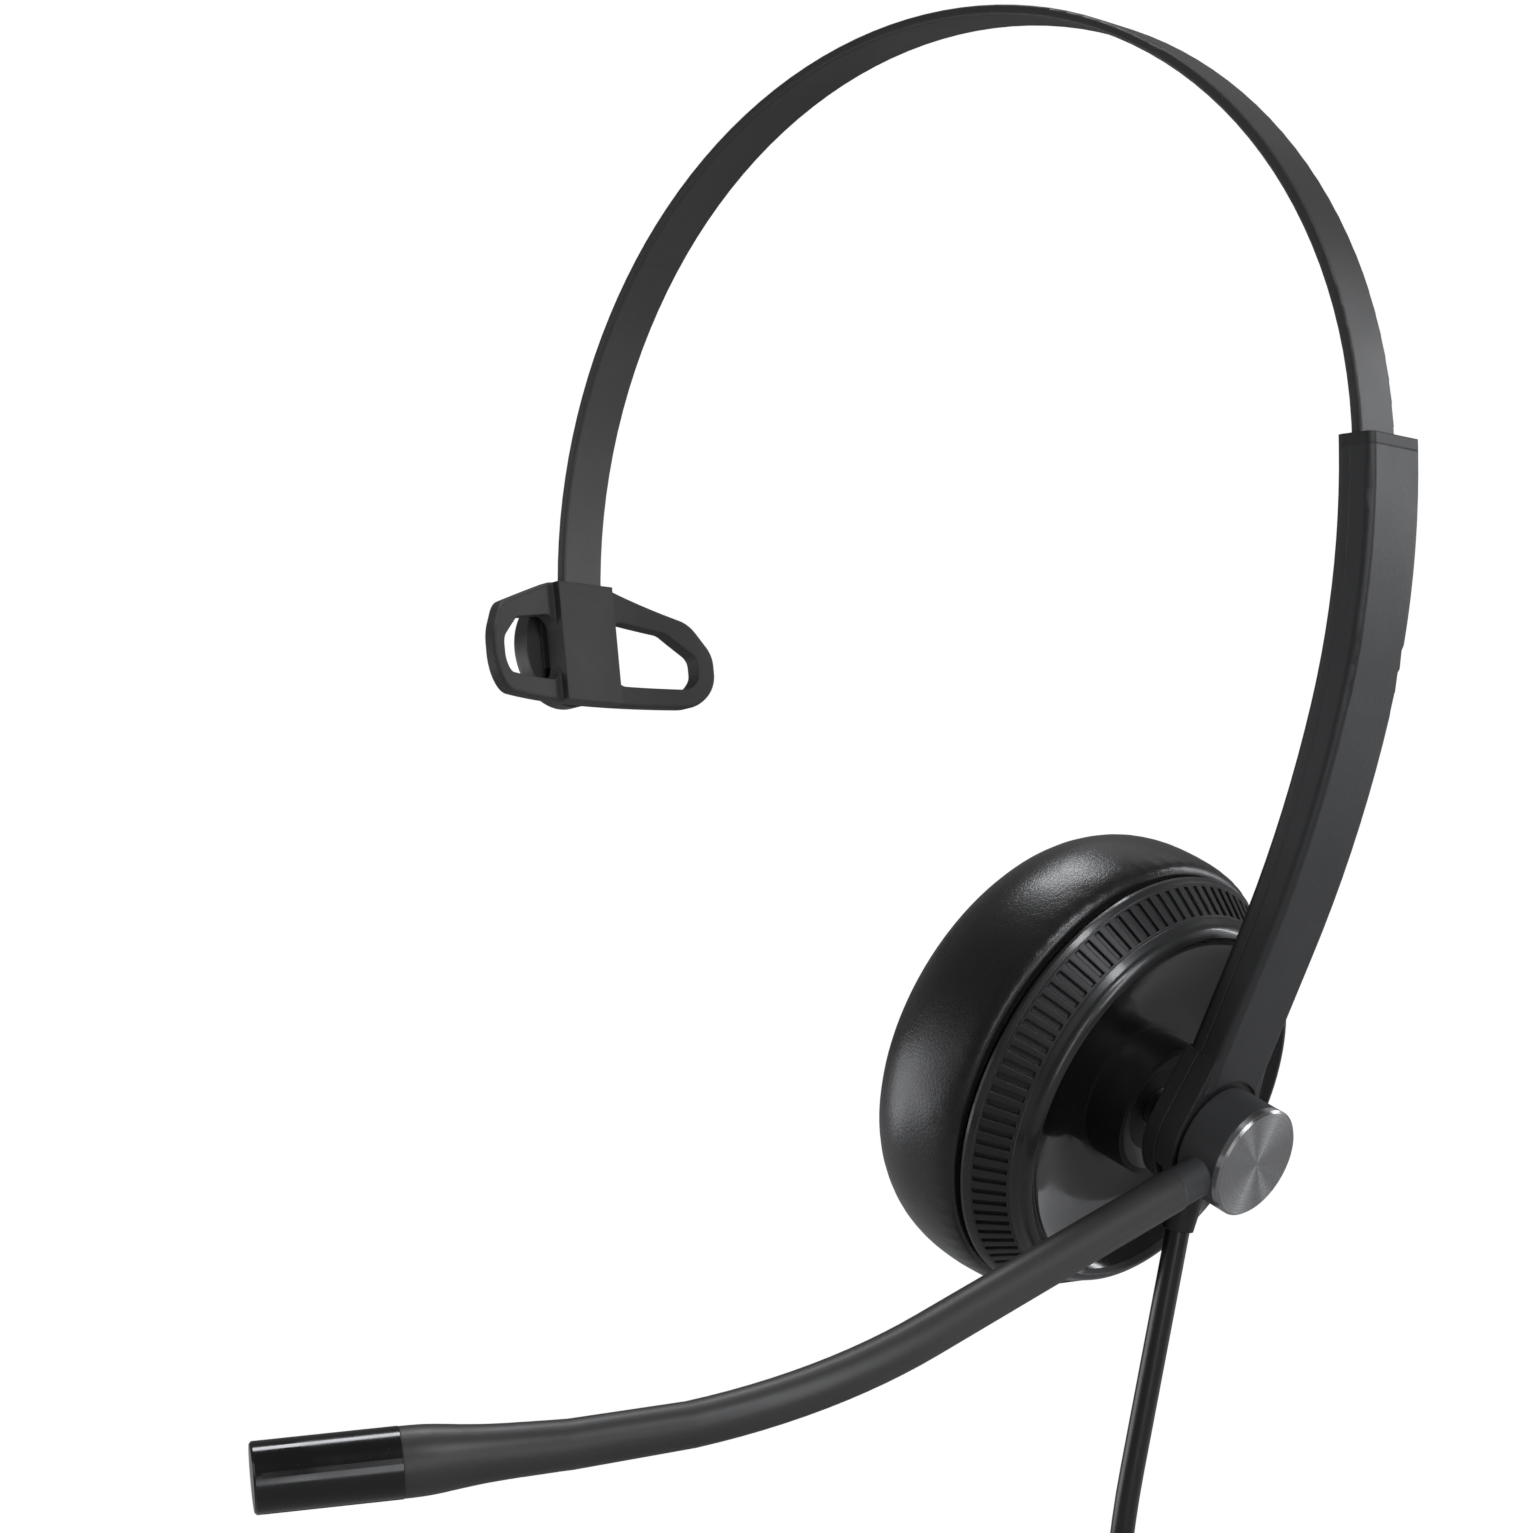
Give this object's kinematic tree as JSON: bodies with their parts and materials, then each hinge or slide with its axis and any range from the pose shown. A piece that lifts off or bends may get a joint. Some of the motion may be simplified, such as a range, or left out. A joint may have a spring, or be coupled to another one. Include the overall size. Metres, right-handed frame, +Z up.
{
  "type": "office headset",
  "caption": "One-ear office headset: sprung headband with a T-shaped temple pad, sliding sleeve, padded ear cup on a ball joint, pivoting boom microphone and a USB lead.",
  "frame": {"origin": "underside of the headband at its crown, where it rests on the head", "axes": "+Z up, +X towards the ear cup, -Y to the front, where the boom points"},
  "size_m": [0.1352, 0.1453, 0.292],
  "materials": {
    "band_plastic": "satin moulded plastic over the spring",
    "pad_rubber": "matte soft rubber",
    "arm_plastic": "fine-textured moulded plastic",
    "boom_plastic": "fine-textured moulded plastic",
    "boom_sleeve": "matte rubber sleeve over a flexible core",
    "gloss_black": "polished black plastic",
    "cup_plastic": "fine-textured moulded plastic",
    "cup_rim": "satin moulded plastic with a smooth rim",
    "leatherette": "smooth protein leatherette over foam",
    "cap_metal": "dark anodised, circular brushed",
    "spring_steel": "hardened strip",
    "steel": "plated screws and rivet",
    "nylon": "moulded nylon",
    "magnet": "nickel plated",
    "cone_film": "thin clear film",
    "cloth": "acoustic cloth",
    "capsule_metal": "drawn can",
    "soft_rubber": "soft moulded rubber",
    "cord_jacket": "smooth PVC jacket",
    "cord_rubber": "moulded strain relief",
    "tie_rubber": "moulded tie",
    "usb_plastic": "moulded over the cord",
    "usb_metal": "nickel plated shell",
    "usb_insert": "white insert",
    "contact_gold": "gold plated contacts"
  },
  "bodies": {
    "band": {"headband_spring": "spring_steel", "headband_cover": "band_plastic", "band_stop": "nylon", "stop_rivet": "steel", "temple_pad": "pad_rubber", "pad_block": "band_plastic", "pad_cap": "band_plastic"},
    "sleeve": {"arm_inner_shell": "arm_plastic", "arm_outer_shell": "arm_plastic", "arm_collar": "nylon", "arm_screws": "steel", "ball_stud": "nylon", "friction_washer": "nylon", "pivot_screw": "steel", "strain_relief": "cord_rubber", "cord": "cord_jacket", "cord_coil": "cord_jacket", "cord_tie": "tie_rubber", "cord_tail": "cord_jacket", "usb_grip": "usb_plastic", "usb_shell": "usb_metal", "usb_tongue": "usb_insert", "usb_contacts": "contact_gold"},
    "boom": {"boom_hub": "boom_plastic", "pivot_cap": "cap_metal", "boom_stem": "boom_sleeve", "mic_barrel": "gloss_black", "mic_capsule": "capsule_metal", "mic_boot": "soft_rubber"},
    "liner": {"ball_liner": "nylon"},
    "ear_cup": {"cup_shell": "cup_rim", "grip_ring": "cup_plastic", "dish_cover": "gloss_black", "socket_retainer": "cup_plastic", "retainer_screws": "steel", "baffle": "cup_plastic", "baffle_screws": "steel", "driver_frame": "nylon", "driver_magnet": "magnet", "driver_cone": "cone_film", "driver_cloth": "cloth", "cushion_clip": "cup_plastic", "ear_cushion": "leatherette"}
  },
  "joints": [
    {"name": "size_adjust", "type": "hinge", "parent": "band", "child": "sleeve", "pos_m": [-0.04861, 0, -0.07332], "axis": [0, 1, 0], "range_deg": [0, 13.3]},
    {"name": "boom_pivot", "type": "hinge", "parent": "sleeve", "child": "boom", "pos_m": [0.05939, 0, -0.13185], "axis": [0.9781, 0, -0.2079], "range_deg": [-90, 55]},
    {"name": "cup_swivel", "type": "hinge", "parent": "sleeve", "child": "liner", "pos_m": [0.04491, 0, -0.12877], "axis": [0.2079, 0, 0.9781], "range_deg": [-8, 8]},
    {"name": "cup_tilt", "type": "hinge", "parent": "liner", "child": "ear_cup", "pos_m": [0.04491, 0, -0.12877], "axis": [0, 1, 0], "range_deg": [-8, 8]}
  ]
}
